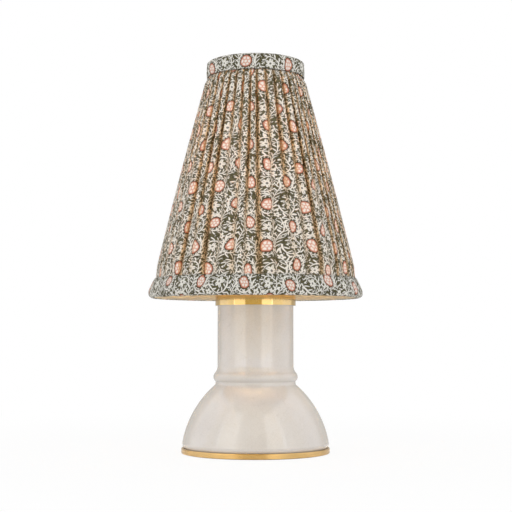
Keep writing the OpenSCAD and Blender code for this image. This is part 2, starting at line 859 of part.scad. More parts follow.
module shade_lining() {
    z0 = bottom_ring_z + slip_gap;
    z1 = top_ring_z - slip_gap;
    low = arm_top - arm_bend_r * arm_way;
    color(LINING) difference() {
        turned([[cone_r(z0) + lining_out, z0], [cone_r(z1) + lining_out, z1],
            [cone_r(z1) + lining_out - lining_t, z1], [cone_r(z0) + lining_out - lining_t, z0]]);
        at_arms() rod([low.x, 0, low.y], [arm_top.x, 0, arm_top.y], arm_d + 2 * slip_gap);
    }
}

// Bands: cloth folded round each ring, with a flap over the cover's gathered ends

fold_gap = 0.35;
flap_flare = 1.9;
hem_gap = 0.95;

// Half of a rolled edge round a wire, with its outer flap ending at flap_r and flap_h from the wire
module folded_band(r, z, wire, gap, way, flap_r, flap_h, swell) {
    in_r = wire / 2 + gap;
    out_r = in_r + band_t;
    outer = [for (i = [0 : 12]) [r - out_r * cos(i * 15), z + way * out_r * sin(i * 15)]];
    inner = [for (i = [0 : 12]) [r + in_r * cos(i * 15), z + way * in_r * sin(i * 15)]];
    flap_z = z - way * flap_h;
    turned(concat(outer, [[r + out_r + swell, z - way * flap_h / 3], [flap_r, flap_z], [flap_r - band_t, flap_z],
        [r + in_r + swell, z - way * flap_h / 3]], inner));
}

module shade_top_band() {
    flap_r = cone_r(top_ring_z - top_band_h) + cover_in + band_t + flap_flare / 2;
    color(CLOTH) folded_band(top_r, top_ring_z, top_wire_d, fold_gap, 1, flap_r, top_band_h, flap_flare);
}

module shade_bottom_band() {
    flap_r = cone_r(bottom_ring_z + bottom_band_h) + cover_tuck + slip_gap + band_t;
    color(CLOTH) folded_band(bottom_r, bottom_ring_z, bottom_wire_d, hem_gap, -1, flap_r, bottom_band_h, 0);
}

// Cover: cloth gathered into pleats that narrow towards the top

points_per_pleat = 4;
puff_h = 3;
crown_puff = 0.8;

// Pleats' outline at one height: sharp valleys between round crests
function pleat_ring(z, crest, depth) = [for (i = [0 : pleat_count * points_per_pleat - 1])
    let (a = i * 360 / (pleat_count * points_per_pleat), w = abs(sin(a * pleat_count / 2)),
        r = crest - depth * (1 - w))
    [r * cos(a), r * sin(a), z]];

function inner_ring(z) = [for (i = [0 : pleat_count - 1])
    let (a = i * 360 / pleat_count, r = (cone_r(z) + cover_in) / cos(180 / pleat_count))
    [r * cos(a), r * sin(a), z]];

module shade_cover() {
    z0 = bottom_ring_z + bottom_wire_d / 2 + slip_gap;
    z1 = top_ring_z - top_band_h - slip_gap / 2;
    low = bottom_ring_z + bottom_band_h + overrun;
    high = top_ring_z - top_band_h - puff_h;
    stations = [[z0, cone_r(z0) + cover_tuck, pleat_depth / 4],
        [low, cone_r(low) + cover_tuck, pleat_depth / 4],
        [(2 * low + high) / 3, cone_r((2 * low + high) / 3) + cover_out + crown_puff, pleat_depth],
        [high, cone_r(high) + cover_out, pleat_depth],
        [z1, cone_r(z1) + cover_in + cloth_t + pleat_depth / 2, pleat_depth / 2]];
    n = pleat_count * points_per_pleat;
    m = len(stations);
    outer = [for (s = stations) each pleat_ring(s[0], s[1], s[2])];
    inner = concat(inner_ring(z0), inner_ring(z1));
    base = n * m;
    walls = [for (k = [0 : m - 2]) for (i = [0 : n - 1])
        let (a = k * n + i, b = k * n + (i + 1) % n, c = a + n, d = b + n) each [[a, c, b], [b, c, d]]];
    lining_walls = [for (i = [0 : pleat_count - 1])
        let (a = base + i, b = base + (i + 1) % pleat_count, c = a + pleat_count, d = b + pleat_count)
        each [[a, b, c], [b, d, c]]];
    low_end = [for (i = [0 : pleat_count - 1])
        let (a = base + i, b = base + (i + 1) % pleat_count)
        each concat([for (j = [0 : points_per_pleat - 1])
            [a, i * points_per_pleat + j, (i * points_per_pleat + j + 1) % n]],
            [[a, ((i + 1) * points_per_pleat) % n, b]])];
    high_end = [for (i = [0 : pleat_count - 1])
        let (a = base + pleat_count + i, b = base + pleat_count + (i + 1) % pleat_count, o = (m - 1) * n)
        each concat([for (j = [0 : points_per_pleat - 1])
            [a, o + (i * points_per_pleat + j + 1) % n, o + i * points_per_pleat + j]],
            [[a, b, o + ((i + 1) * points_per_pleat) % n]])];
    color(CLOTH) polyhedron(concat(outer, inner), concat(walls, lining_walls, low_end, high_end));
}

felt_pad();
foot_dish();
ceramic_body();
cord_grommet();
bottom_washer();
bottom_nut();
lamp_pipe();
neck_grommet();
cap_gasket();
neck_cap();
socket_riser();
harp_saddle();
saddle_nut();
socket_cap();
set_screw();
socket_shell();
socket_liner();
socket_block();
screw_shell();
centre_contact();
terminal_screws();
switch_knob();
switch_shaft();
switch_cam();
bulb_contact();
bulb_insulator();
bulb_cap();
bulb_glass();
bulb_stem();
bulb_filament();
harp_wire();
harp_bridge();
harp_sleeve_left();
harp_sleeve_right();
harp_swivel();
finial_insert();
finial();
shade_spider();
shade_top_ring();
shade_bottom_ring();
shade_ribs();
shade_lining();
shade_cover();
shade_top_band();
shade_bottom_band();
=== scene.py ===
# %% [markdown]
# # A table lamp with a gathered shade
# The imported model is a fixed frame, and lengths are in metres in that frame, apart from the print's,
# which are millimetres of cloth. The hard parts keep their exact nodes and only get a finish. The
# cloth is modelled here, and takes its place from the boxes of the nodes that it stands for.

# %% Load the frame
import math
import random

import bmesh
import bpy
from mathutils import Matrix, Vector


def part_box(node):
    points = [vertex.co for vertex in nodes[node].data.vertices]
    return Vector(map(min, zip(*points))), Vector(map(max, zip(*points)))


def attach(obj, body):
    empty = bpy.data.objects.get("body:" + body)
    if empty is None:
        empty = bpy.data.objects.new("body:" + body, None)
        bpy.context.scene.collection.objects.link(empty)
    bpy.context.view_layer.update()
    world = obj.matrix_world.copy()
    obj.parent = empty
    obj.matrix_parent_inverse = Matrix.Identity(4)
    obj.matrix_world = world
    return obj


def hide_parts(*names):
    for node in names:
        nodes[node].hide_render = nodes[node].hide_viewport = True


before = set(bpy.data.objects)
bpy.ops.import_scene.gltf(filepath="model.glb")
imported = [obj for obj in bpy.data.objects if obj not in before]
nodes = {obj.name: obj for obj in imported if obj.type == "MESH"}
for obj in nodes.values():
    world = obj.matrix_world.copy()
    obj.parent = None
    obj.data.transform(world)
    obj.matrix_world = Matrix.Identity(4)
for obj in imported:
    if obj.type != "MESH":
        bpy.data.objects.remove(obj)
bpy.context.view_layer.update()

MM = 0.001

# %% [markdown]
# ## Camera
# The photograph was taken with a long lens from a little above the table. The camera is tilted up
# instead of being shifted, so that the other views stay centred.

# %% Camera
scene = bpy.context.scene
camera = bpy.data.objects.new("camera", bpy.data.cameras.new("camera"))
scene.collection.objects.link(camera)
scene.camera = camera
camera.data.lens = 86.45
camera.data.clip_end = 50
camera.location = (0.0005, -1.3292, 0.1235)
camera.rotation_euler = (math.radians(90 + 3.789), 0, 0)
scene.view_settings.view_transform = "Standard"
print("camera: lens", camera.data.lens, "mm at", tuple(camera.location))

# %% [markdown]
# ## Shader maths
# Patterns such as a printed cloth are arithmetic on coordinates. This class wraps a node's output,
# so that an expression such as `1 - mask * 2` adds the Math nodes that it stands for. One method
# adds every other kind of node, and short methods add the kinds that are used most.

# %% Sockets that can be added and multiplied
class Field:
    """A value that changes over a surface."""

    def __init__(self, tree, socket=None):
        self.tree, self.socket = tree, socket

    def node(self, kind, settings=None, inputs=None, output=0):
        made = self.tree.nodes.new("ShaderNode" + kind)
        for name, value in (settings or {}).items():
            setattr(made, name, value)
        for name, value in (inputs or {}).items():
            if isinstance(value, Field):
                self.tree.links.new(value.socket, made.inputs[name])
            else:
                made.inputs[name].default_value = value
        return Field(self.tree, made.outputs[output] if output is not None else None)

    def out(self, name):
        """Another output of the same node."""
        return Field(self.tree, self.socket.node.outputs[name])

    def maths(self, operation, *others):
        return self.node("Math", {"operation": operation}, dict(enumerate((self,) + others)))

    def __add__(self, other): return self.maths("ADD", other)
    __radd__ = __add__
    def __sub__(self, other): return self.maths("SUBTRACT", other)
    def __rsub__(self, other): return self.node("Math", {"operation": "SUBTRACT"}, {0: other, 1: self})
    def __mul__(self, other): return self.maths("MULTIPLY", other)
    __rmul__ = __mul__
    def __truediv__(self, other): return self.maths("DIVIDE", other)
    def __mod__(self, other): return self.maths("FLOORED_MODULO", other)
    def __pow__(self, other): return self.maths("POWER", other)
    def __abs__(self): return self.maths("ABSOLUTE")

    def sin(self): return self.maths("SINE")
    def cos(self): return self.maths("COSINE")
    def floor(self): return self.maths("FLOOR")
    def at_most(self, other): return self.maths("MINIMUM", other)
    def at_least(self, other): return self.maths("MAXIMUM", other)

    def step(self, low, high, start=0.0, end=1.0):
        """Eases from start to end while the value goes from low to high."""
        span = {"Value": self, "From Min": low, "From Max": high, "To Min": start, "To Max": end}
        return self.node("MapRange", {"interpolation_type": "SMOOTHSTEP"}, span)

    def parts(self):
        """X of a vector, whose other outputs are Y and Z."""
        return self.node("SeparateXYZ", None, {"Vector": self})

    def noise(self, scale, detail, output=0, **settings):
        """Noise at a place. Output 1 holds three values at once."""
        inputs = {"Vector": self, "Scale": scale, "Detail": detail}
        return self.node("TexNoise", settings, inputs, output)

    def bump(self, strength):
        """The normal that a height in metres gives."""
        return self.node("Bump", None, {"Height": self, "Strength": strength, "Distance": 1.0})


def blend(factor, a, b, how="MIX"):
    """Mixes two colours, each a field or three numbers."""
    start = next(f for f in (factor, a, b) if isinstance(f, Field))
    a, b = [c if isinstance(c, Field) else (*c, 1.0) for c in (a, b)]
    settings = {"data_type": "RGBA", "blend_type": how}
    return start.node("Mix", settings, {0: factor, 6: a, 7: b}, output=2)


def dimmed(colour, share):
    return tuple(c * share for c in colour)


def srgb(*levels):
    """Linear colour of an sRGB colour given as three levels from 0 to 255."""
    return tuple(((v / 255 + 0.055) / 1.055) ** 2.4 if v > 10 else v / 255 / 12.92 for v in levels)


def finish_of(name, build):
    """Makes a material: build gets an empty field of its tree and returns the surface shader."""
    material = bpy.data.materials.new(name)
    material.use_nodes = True
    material.node_tree.nodes.clear()
    start = Field(material.node_tree)
    start.node("OutputMaterial", None, {"Surface": build(start)}, output=None)
    print("finish:", name, len(material.node_tree.nodes), "nodes")
    return material


# %% [markdown]
# ## Brass
# The cap and the foot ring are satin brass under clear lacquer. Turned brass keeps very fine rings
# from the lathe, so the bump follows the height and the radius. Rings that lie sideways smear a
# reflection up and down only, which the shader's Anisotropic socket gives: its smear runs round the
# axis by itself, and a quarter turn sets it upright. The foot ring is brushed more than the cap.

# %% Brass, in three finishes
LATHE_UP, LATHE_OUT = 2600, 1900  # how fine the rings are along the height and the radius
LATHE_DEPTH = 0.000006
QUARTER_TURN = 0.25


def brass(name, tone, fine=1.0, satin=0.075, smear=0.6):
    def build(start):
        place = start.node("TexCoord", output="Object")
        x = place.parts()
        y, z = x.out("Y"), x.out("Z")
        radius = (x * x + y * y) ** 0.5
        lathe = start.node("TexNoise", {"noise_dimensions": "1D"},
                           {"W": z * LATHE_UP + radius * LATHE_OUT, "Scale": 1.0, "Detail": 2.0})
        cloud = place.noise(38.0, 3.0)
        return start.node("BsdfPrincipled", None, {
            "Base Color": blend(cloud.step(0.35, 0.7), tone, dimmed(tone, 0.86)), "Metallic": 1.0,
            "Roughness": (lathe * 0.25 + cloud * 0.3 + 0.75) * satin,
            "Normal": (lathe * (LATHE_DEPTH * fine)).bump(0.3), "Anisotropic": smear,
            "Anisotropic Rotation": QUARTER_TURN, "Coat Weight": 0.1, "Coat Roughness": 0.03})
    return finish_of(name, build)


bright_brass = brass("satin_brass", srgb(247, 214, 154))
foot_brass = brass("foot_ring_brass", srgb(238, 200, 138), satin=0.28, smear=0.93)
socket_brass = brass("socket_brass", srgb(220, 188, 130), fine=0.6, satin=0.16)

# %% [markdown]
# ## Steel, card, felt, rubber and moulded plastic
# These sit inside the shade or under the foot. Each gets the grain that the stuff has.

# %% Plain finishes with grain
def grained(name, dark, light, rough, grain, depth, metal=0.0, **fixed):
    """A stuff whose tone and height follow a grain, with other sockets at fixed numbers."""
    def build(start):
        place = start.node("TexCoord", output="Object")
        fine = start.node("TexNoise", None, {
            "Vector": place, "Scale": grain, "Detail": 4.0, "Roughness": 0.6})
        broad = place.noise(grain / 12, 2.0)
        sockets = {"Base Color": blend((fine * 0.7 + broad * 0.3).step(0.3, 0.7), dark, light),
                   "Metallic": metal, "Roughness": broad.step(0.2, 0.8, rough * 0.85, rough * 1.1),
                   "Normal": (fine * depth).bump(0.5)}
        sockets.update({k.replace("_", " "): v for k, v in fixed.items()})
        return start.node("BsdfPrincipled", None, sockets)
    return finish_of(name, build)


plated_steel = grained("plated_steel", srgb(150, 150, 152), srgb(196, 196, 198),
                       rough=0.28, grain=900, depth=0.00001, metal=1.0)
green_felt = grained("green_felt", srgb(38, 46, 40), srgb(70, 80, 70),
                     rough=0.95, grain=1400, depth=0.0004, Sheen_Weight=0.5)
black_rubber = grained("black_rubber", srgb(26, 25, 24), srgb(44, 42, 40),
                       rough=0.6, grain=1600, depth=0.00004)
liner_card = grained("liner_card", srgb(96, 78, 58), srgb(134, 112, 84),
                     rough=0.85, grain=1100, depth=0.00006)
dark_moulding = grained("dark_moulding", srgb(22, 20, 19), srgb(38, 34, 32),
                        rough=0.32, grain=700, depth=0.00002, Coat_Weight=0.2)
bulb_metal = grained("bulb_metal", srgb(176, 176, 178), srgb(214, 214, 214),
                     rough=0.3, grain=800, depth=0.00001, metal=1.0)
black_glass = grained("black_glass", srgb(12, 12, 16), srgb(24, 24, 30),
                      rough=0.12, grain=300, depth=0.00001)

# %% [markdown]
# ## Glaze
# The body is cast stoneware under a thick cream glaze. Such a glaze pools a little darker in the
# groove under the bead, and is covered by a net of cracks a few millimetres apart that shows only
# from close by. A Voronoi pattern's distance to its edges draws the net. A clear coat and a
# high specular level give the clear reflections over it.

# %% Crackle glaze
GROOVE_Z, GROOVE_HALF = 0.0785, 0.006
FINE_NET, COARSE_NET = 330.0, 120.0  # cells to the metre
WANDER = 0.0016  # how far noise bends the cracks


def build_glaze(start):
    place = start.node("TexCoord", output="Object")
    wander = place.noise(260.0, 2.0, output=1)
    bent = start.node("VectorMath", {"operation": "MULTIPLY_ADD"},
                      {0: wander, 1: (WANDER,) * 3, 2: place})
    to_edge = {"feature": "DISTANCE_TO_EDGE"}
    net = start.node("TexVoronoi", to_edge, {"Vector": bent, "Scale": FINE_NET})
    coarse = start.node("TexVoronoi", to_edge, {"Vector": bent, "Scale": COARSE_NET})
    crack = (1 - net.step(0.0, 0.055)).at_least(1 - coarse.step(0.0, 0.02))
    patch = place.noise(24.0, 3.0)
    speck = place.noise(900.0, 1.0)
    groove = 1 - abs(place.parts().out("Z") - GROOVE_Z).step(0.0, GROOVE_HALF)
    cream = blend(patch.step(0.3, 0.7), srgb(213, 208, 204), srgb(207, 201, 196))
    cream = blend(groove * 0.3, cream, srgb(198, 191, 181))
    cream = blend(crack * patch.step(0.25, 0.6, 0.08, 0.2), cream, srgb(168, 156, 140))
    cream = blend(speck.step(0.68, 0.8) * 0.08, cream, srgb(180, 168, 150))
    return start.node("BsdfPrincipled", None, {
        "Base Color": cream, "Roughness": 0.03 + crack * 0.06, "IOR": 1.5, "Specular IOR Level": 0.95,
        "Normal": (patch * 0.00006 - crack * 0.00001).bump(0.3), "Coat Weight": 0.5,
        "Coat Roughness": 0.03})


cream_glaze = finish_of("cream_crackle_glaze", build_glaze)

# %% [markdown]
# ## Printed cotton
# The cotton carries a small allover print of a common kind: coral rosettes and white daisies on
# an olive ground, joined by cream vines with paired leaflets. It is drawn in millimetres of
# cloth, so it lies on the gathers as a real print does, narrow on the crests near the top and
# swallowed by the folds. Each motif is a distance compared with an outline.

# %% Leaves and flowers as distances
def vine(along, across, gap=4.7, long=2.25, wide=0.84, lean=0.9, stem=0.56):
    """How far a point lies from a stem with paired leaflets, where 1 is their outline. A pair comes
    after each gap, long and wide are half a leaflet's length and width, and lean tips it forward."""
    side = abs(across)
    out = side - (long + stem)
    up = (along - side * lean) % gap - gap / 2
    leaf = (out * out / long ** 2 + up * up / wide ** 2) ** 0.5
    return leaf.at_most(side / stem)


def petals(x, y, count, radius, waist):
    """Distance past a flower's outline, with the distance and the turn round its middle."""
    away = (x * x + y * y) ** 0.5
    turn = y.maths("ARCTAN2", x)
    edge = abs((turn * (count / 2)).cos()) * (radius * (1 - waist)) + radius * waist
    return away - edge, away, turn


def chance(a, b):
    """Three random numbers for each pair of whole numbers."""
    pair = a.node("CombineXYZ", None, {"X": a, "Y": b})
    dice = a.node("TexWhiteNoise", {"noise_dimensions": "2D"}, {"Vector": pair}, output=1)
    return dice.node("SeparateXYZ", None, {"Vector": dice})


def dashes(x, y, pitch, long, wide, slant=(0.88, 0.47), bow=0.22):
    """Distance from short strokes that lie any way round, one to a cell of a slanting grid."""
    c, s = slant
    x, y = x * c + y * s, y * c - x * s
    dice = chance((x / pitch).floor(), (y / pitch).floor())
    room = pitch - 2 * wide - long
    u = x % pitch - pitch / 2 - (dice - 0.5) * room
    v = y % pitch - pitch / 2 - (dice.out("Y") - 0.5) * room
    turn = dice.out("Z") * math.pi
    c, s = turn.cos(), turn.sin()
    along, across = u * c + v * s, v * c - u * s
    across = across - along * along * bow
    return (along * along / long ** 2 + across * across / wide ** 2) ** 0.5


# %% The print
COLUMN, ROW = 24.0, 44.0
DRIFT = 5.0  # how far noise moves the drawing, to and fro together
ROSE, BUD, SPRIG = 6.1, 5.6, 3.4  # radii of the flowers
ground_tone, edge_tone, cream_tone = srgb(102, 97, 70), srgb(28, 23, 12), srgb(254, 251, 243)
coral_tone, rose_tone = srgb(198, 126, 104), srgb(226, 166, 144)


def draw_print(start):
    """The print's colour on the flat cloth, its place in millimetres, and how pale it is."""
    cloth = start.node("TexCoord", output="UV")
    drift = cloth.noise(70.0, 1.0, output=1, noise_dimensions="2D").parts()
    place = cloth.parts()
    x = place * 1000 + (drift - 0.5) * DRIFT
    y = place.out("Y") * 1000 + (drift.out("Y") - 0.5) * DRIFT

    # Columns of rosettes and daisies by turns, every second column moved by half a row
    column = (x / COLUMN).floor()
    mid_x = x % COLUMN - COLUMN / 2
    bud_at = y + column % 2 * (ROW / 2)
    rose_at = bud_at + ROW / 2
    rose_move = chance(column, (rose_at / ROW).floor())
    bud_move = chance(column + 50, (bud_at / ROW).floor())
    rose_x = (mid_x - (rose_move - 0.5) * 5.5) * (rose_move.out("Z") * 0.25 + 1.02)
    rose_y = (rose_at % ROW - ROW / 2 - (rose_move.out("Y") - 0.5) * 8) * 0.94
    rose, rose_r, rose_turn = petals(rose_x, rose_y, count=9, radius=ROSE, waist=0.95)
    bud_x = mid_x - (bud_move - 0.5) * 4
    bud_y = bud_at % ROW - ROW / 2 - (bud_move.out("Y") - 0.5) * 7
    bud, bud_r, bud_turn = petals(bud_x, bud_y, count=5, radius=BUD, waist=0.45)

    # A vine between the columns with a small daisy on each bend, and a wreath round each flower
    line = ((x + COLUMN / 2) / COLUMN).floor()
    line_x = (x + COLUMN / 2) % COLUMN - COLUMN / 2
    odd_line = line % 2
    sprig_at = y + odd_line * (ROW / 2) + ROW / 4
    sprig, sprig_r, _ = petals(line_x, sprig_at % ROW - ROW / 2, count=5, radius=SPRIG, waist=0.5)
    swing = (y * (2 * math.pi / ROW)).cos() * (1 - odd_line * 2)
    drawn = vine(y * 1.08, line_x - swing * 4.4)
    drawn = drawn.at_most(vine(bud_turn * 8.4, bud_r + bud_turn * 0.9 - 8.4, gap=2 * math.pi * 8.4 / 12,
                               long=1.75, wide=0.85, lean=0.8, stem=0.6))
    drawn = drawn.at_most(vine(rose_turn * 9.2, rose_r - 8.9, gap=2 * math.pi * 9.2 / 13,
                               long=1.5, wide=0.8, lean=0.9, stem=0.55))
    strewn = dashes(x, y, pitch=4.4, long=1.75, wide=0.72) + (1 - drawn.step(1.4, 2.1)) * 3
    halo = rose_r.step(6.5, 6.9) * bud_r.step(5.7, 6.1) * sprig_r.step(3.6, 4.0)
    near = drawn.at_most(strewn) + (1 - halo) * 4
    bloom = bud.at_most(sprig)
    white = (1 - near.step(0.8, 1.15)).at_least(1 - bloom.step(-0.2, 0.1))
    edge = (1 - near.step(1.2, 1.9)).at_least(1 - bloom.at_most(rose).step(0.3, 0.9))

    # Ground, dark edges, white leaves and daisies with veins and eyes, and the rosettes over them
    shade = cloth.noise(900.0, 2.0, noise_dimensions="2D")
    ground = blend(shade, dimmed(ground_tone, 0.86), dimmed(ground_tone, 1.12))
    colour = blend(edge * 0.85, ground, edge_tone)
    vein = (1 - abs((bud_turn * 2.5).sin()).step(0.0, 0.22)) * bud_r.step(1.5, 3.4)
    eye = (1 - bud_r.step(0.9, 1.2)).at_least(1 - sprig_r.step(0.5, 0.8))
    white = white * (1 - (vein * (1 - bud.step(-0.2, 0.1))).at_least(eye) * 0.85)
    colour = blend(white, colour, blend(shade, cream_tone, dimmed(cream_tone, 0.92)))
    coral = 1 - rose.step(-0.2, 0.1)
    dab = abs((rose_turn * 3).cos()).step(0.3, 0.6) * (1 - abs(rose_r - 3.4).step(1.0, 1.4))
    dab = dab.at_least(1 - rose_r.step(1.1, 1.5))
    flesh = blend(dab * 0.9, blend(rose_r.step(4.4, 5.6), rose_tone, coral_tone), cream_tone)
    return blend(coral, colour, flesh), x, y, white.at_least(coral * 0.6)


# %% [markdown]
# The bulb is on, so cloth shows two lights: studio light on its face, and warm light that comes
# through it. A Translucent shader mixed in lets the second through, most where the print is pale
# and in the folds: it tints the middle of the shade. The folds' colour is also painted: a golden
# painted glow, as they catch little studio light, and painted shade in the deepest of them.

# %% Printed cotton and plain lining
THREAD = 0.45  # millimetres from thread to thread of the printed cotton
SEAM_GAP = 87.0  # millimetres between the lining's seams
WHITE = (1.0, 1.0, 1.0)


def weave(x, y, pitch=THREAD, depth=0.00006):
    """The normal of a weave, from a place in millimetres."""
    thread = (x * (2 * math.pi / pitch)).sin() * (y * (2 * math.pi / pitch)).sin()
    return (thread * depth).bump(0.4)


def cloth_shader(start, colour, bump, through):
    """Cloth whose face is lit and that passes a share of the light behind it."""
    face = start.node("BsdfPrincipled", None, {
        "Base Color": colour, "Roughness": 0.88, "Normal": bump, "Sheen Weight": 0.05,
        "Sheen Roughness": 0.5, "Specular IOR Level": 0.1})
    back = start.node("BsdfTranslucent", None, {"Color": (1.0, 0.84, 0.64, 1.0)})
    return start.node("MixShader", None, {0: through, 1: face, 2: back})


def build_print(start):
    colour, x, y, thin = draw_print(start)
    fold = start.node("Attribute", {"attribute_name": "fold"}, output="Fac")
    # The fold attribute paints light into the cotton's colour: first a golden painted glow over the
    # folds, then painted shade that darkens the deepest folds.
    warm = blend(fold.step(0.05, 0.6), WHITE, (0.90, 0.70, 0.46))
    dark = blend(fold.step(0.45, 1.0), WHITE, (0.38, 0.28, 0.17))
    colour = blend(1.0, blend(1.0, colour, warm, "MULTIPLY"), dark, "MULTIPLY")
    through = 0.12 + thin * (fold * 0.2 + 0.19) + fold * 0.02
    return cloth_shader(start, colour, weave(x, y), through)


def build_band(start):
    colour, x, y, thin = draw_print(start)
    # Painted shade: the band's print is multiplied a little darker and cooler than the cover's, as
    # little of the bulb's light comes through the band.
    colour = blend(0.25, colour, srgb(90, 92, 80), "MULTIPLY")
    return cloth_shader(start, colour, weave(x, y), 0.03 + thin * 0.03)


def build_lining(start):
    cloth = start.node("TexCoord", output="UV")
    x, y = cloth.parts() * 1000, cloth.parts().out("Y") * 1000
    slub = cloth.noise(240.0, 2.0, noise_dimensions="2D")
    seam = 1 - abs(x % SEAM_GAP - SEAM_GAP / 2).step(0.2, 0.9)
    colour = blend(slub.step(0.3, 0.7), srgb(248, 238, 214), srgb(241, 229, 202))
    colour = blend(seam * 0.35, colour, srgb(196, 172, 128))
    return cloth_shader(start, colour, weave(x, y, pitch=0.4, depth=0.00005), 0.35 - seam * 0.12)


printed_cotton = finish_of("printed_cotton", build_print)
band_cotton = finish_of("band_cotton", build_band)
cream_cotton = finish_of("cream_lining_cotton", build_lining)

# %% [markdown]
# ## The bulb's glass
# An inside-frosted bulb that is lit looks like one soft lamp. It glows brightest over the filament,
# less toward its neck, and least at the rim, where the glass is seen edge on.

# %% Bulb finishes
GLOW_FROM, GLOW_TO = 0.015, 0.075  # heights over the glass's lower end
GLOW_TOP, GLOW_NECK, GLOW_RIM = (1.0, 0.86, 0.64), (0.27, 0.18, 0.10), (0.05, 0.033, 0.018)


def build_frost(start):
    place = start.node("TexCoord", output="Object")
    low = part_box("bulb_glass")[0].z
    height = place.parts().out("Z").step(low + GLOW_FROM, low + GLOW_TO)
    rim = start.node("LayerWeight", None, {"Blend": 0.5}, output="Facing").step(0.6, 1.0)
    haze = place.noise(160.0, 2.0)
    return start.node("BsdfPrincipled", None, {
        "Base Color": blend(haze, (0.93, 0.90, 0.84), (0.98, 0.96, 0.92)),
        "Roughness": 0.35 + haze * 0.1,
        "Emission Color": blend(rim, blend(height, GLOW_NECK, GLOW_TOP), GLOW_RIM),
        "Emission Strength": 16.5})


def build_clear(start):
    haze = start.node("TexCoord", output="Object").noise(200.0, 2.0)
    return start.node("BsdfPrincipled", None, {
        "Base Color": blend(haze, (0.90, 0.94, 0.93), (0.97, 0.98, 0.98)),
        "Roughness": 0.02 + haze * 0.04, "Transmission Weight": 0.9})


frosted_glass = finish_of("frosted_lit_glass", build_frost)
clear_glass = finish_of("clear_stem_glass", build_clear)

# %% [markdown]
# ## Finishes on the exact nodes
# The turned and bent metal parts are already exact in the model, so they only get a finish.

# %% Dress the exact nodes
DRESS = {
    foot_brass: ["foot_dish"],
    bright_brass: ["neck_cap", "finial", "finial_insert", "socket_riser", "saddle_nut"],
    socket_brass: ["socket_cap", "socket_shell", "screw_shell", "centre_contact", "harp_bridge",
                   "harp_swivel", "harp_sleeve_left", "harp_sleeve_right"],
    plated_steel: ["harp_saddle", "harp_wire", "shade_spider", "shade_top_ring", "shade_bottom_ring",
                   "shade_ribs", "lamp_pipe", "bottom_nut", "bottom_washer", "terminal_screws",
                   "set_screw", "switch_shaft", "bulb_filament", "bulb_contact"],
    green_felt: ["felt_pad"],
    black_rubber: ["cord_grommet", "neck_grommet", "cap_gasket"],
    liner_card: ["socket_liner"],
    dark_moulding: ["socket_block", "switch_knob", "switch_cam"],
    bulb_metal: ["bulb_cap"],
    black_glass: ["bulb_insulator"],
    frosted_glass: ["bulb_glass"],
    clear_glass: ["bulb_stem"],
    cream_glaze: ["ceramic_body"],
}
for finish, names in DRESS.items():
    for name in names:
        slots = nodes[name].data.materials
        for i in range(len(slots)):
            slots[i] = finish
print("dressed:", sum(len(v) for v in DRESS.values()), "nodes")

# %% [markdown]
# ## The wire frame that the cloth follows
# The cover and the lining lie along the cone through the two rings, and the bands go round them.

# %% Rings
def ring_of(node):
    """Radius and height of the middle of a ring's wire."""
    low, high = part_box(node)
    return high.x - (high.z - low.z) / 2, (low.z + high.z) / 2


top_r, top_z = ring_of("shade_top_ring")
hem_r, hem_z = ring_of("shade_bottom_ring")


def cone(z):
    """Radius of the cone through the middles of both rings."""
    return top_r + (top_z - z) * (hem_r - top_r) / (top_z - hem_z)


slant = math.hypot(top_z - hem_z, hem_r - top_r) / (top_z - hem_z)  # cloth for each metre of height
for ring_r, ring_z in ((top_r, top_z), (hem_r, hem_z)):
    print("ring: radius", round(ring_r, 4), "at", round(ring_z, 4))


def keep(name, mesh_data, material, body, *replaced):
    """Turns a bmesh into a finished piece that rides on a body."""
    mesh = bpy.data.meshes.new(name)
    mesh_data.to_mesh(mesh)
    mesh_data.free()
    mesh.shade_smooth()
    mesh.materials.append(material)
    made = bpy.data.objects.new(name, mesh)
    scene.collection.objects.link(made)
    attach(made, body)
    if replaced:
        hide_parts(*replaced)
    print("piece:", name, len(mesh.polygons), "faces")
    return made


SAME_POINT = 0.000001  # the two ends of a wrapped sheet are joined where they lie nearer than this


def wrap(across, up, place, cloth, fold=None):
    """A grid of cloth bent round the axis. place gives a point from the shares round and up, cloth
    gives the same point on the flat cloth in metres, and fold says how deep in a fold it lies."""
    sheet = bmesh.new()
    layer = sheet.loops.layers.uv.new("cloth")
    depth = sheet.verts.layers.float.new("fold")
    bmesh.ops.create_grid(sheet, x_segments=across, y_segments=up, size=0.5)
    share = {v: tuple(min(max(c + 0.5, 0.0), 1.0) for c in v.co.xy) for v in sheet.verts}
    for face in sheet.faces:
        for corner in face.loops:
            corner[layer].uv = cloth(*share[corner.vert])
    for v, (s, t) in share.items():
        v.co = place(s, t)
        v[depth] = fold(s, t) if fold else 0.0
    bmesh.ops.remove_doubles(sheet, verts=sheet.verts, dist=SAME_POINT)
    return sheet


def thicken(made, thickness):
    """Gives cloth its thickness inwards."""
    solid = made.modifiers.new("thickness", "SOLIDIFY")
    solid.thickness, solid.offset = thickness, -1.0
    solid.use_even_offset = False


# %% [markdown]
# ## The gathered cover
# A strip of cloth 816 mm long is drawn up to 330 mm at the top ring and eased to 700 mm at the
# bottom, so it stands in 47 narrow gathers that fade and join on the way down. Cloth could be
# simulated, but gathers this fine would need a very dense mesh, and a simulation would not keep
# their count. Instead each gather is a crest between two valleys: the valleys wander, some die out
# early, and the cloth's own coordinate runs fast inside a valley, where the fold hides it.

# %% Gathers
GATHERS, STEPS, ROWS = 47, 14, 60
CLOTH_LONG = 0.816
TUCK = 0.0012  # how far the cover runs up behind the top band
VALLEY = 0.105  # a valley's half width, as a share of a gather
CREST, BELLY = 0.00288, 0.0010  # how far crests stand off the cone, and how much more halfway up
SKIN = 0.00048  # the least distance from the cone

